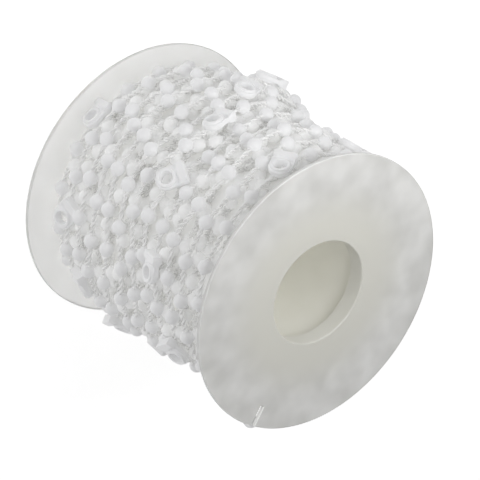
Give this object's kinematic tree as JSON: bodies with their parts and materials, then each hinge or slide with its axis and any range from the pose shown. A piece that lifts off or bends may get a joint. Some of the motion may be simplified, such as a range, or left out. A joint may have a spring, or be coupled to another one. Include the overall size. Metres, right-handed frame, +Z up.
{
  "type": "blind chain on a spool",
  "caption": "White bead chain with eyelet clips, as used on window blinds, wound on a see-through plastic spool.",
  "frame": {"origin": "middle of the lower flange's outer face, on the spool's axis", "axes": "+Z up along the spool's axis, from the lower flange to the upper one; the picture looks from -Y and +X"},
  "size_m": [0.0802, 0.0804, 0.0766],
  "materials": {
    "flange": "frosted, see-through",
    "core": "frosted",
    "chain": "satin moulded beads on twisted cord",
    "clip": "satin moulded"
  },
  "bodies": {
    "root": {"bottom_flange": "flange", "top_flange": "flange", "core_tube": "core", "wound_chain": "chain", "chain_clip_01": "clip", "chain_clip_02": "clip", "chain_clip_03": "clip", "chain_clip_04": "clip", "chain_clip_05": "clip", "chain_clip_06": "clip", "chain_clip_07": "clip", "chain_clip_08": "clip", "chain_clip_09": "clip", "chain_clip_10": "clip", "chain_clip_11": "clip", "chain_clip_12": "clip", "chain_clip_13": "clip", "chain_clip_14": "clip", "chain_clip_15": "clip", "chain_clip_16": "clip", "chain_clip_17": "clip", "chain_clip_18": "clip", "chain_clip_19": "clip", "chain_clip_20": "clip", "chain_clip_21": "clip", "chain_clip_22": "clip", "chain_clip_23": "clip"}
  },
  "joints": []
}
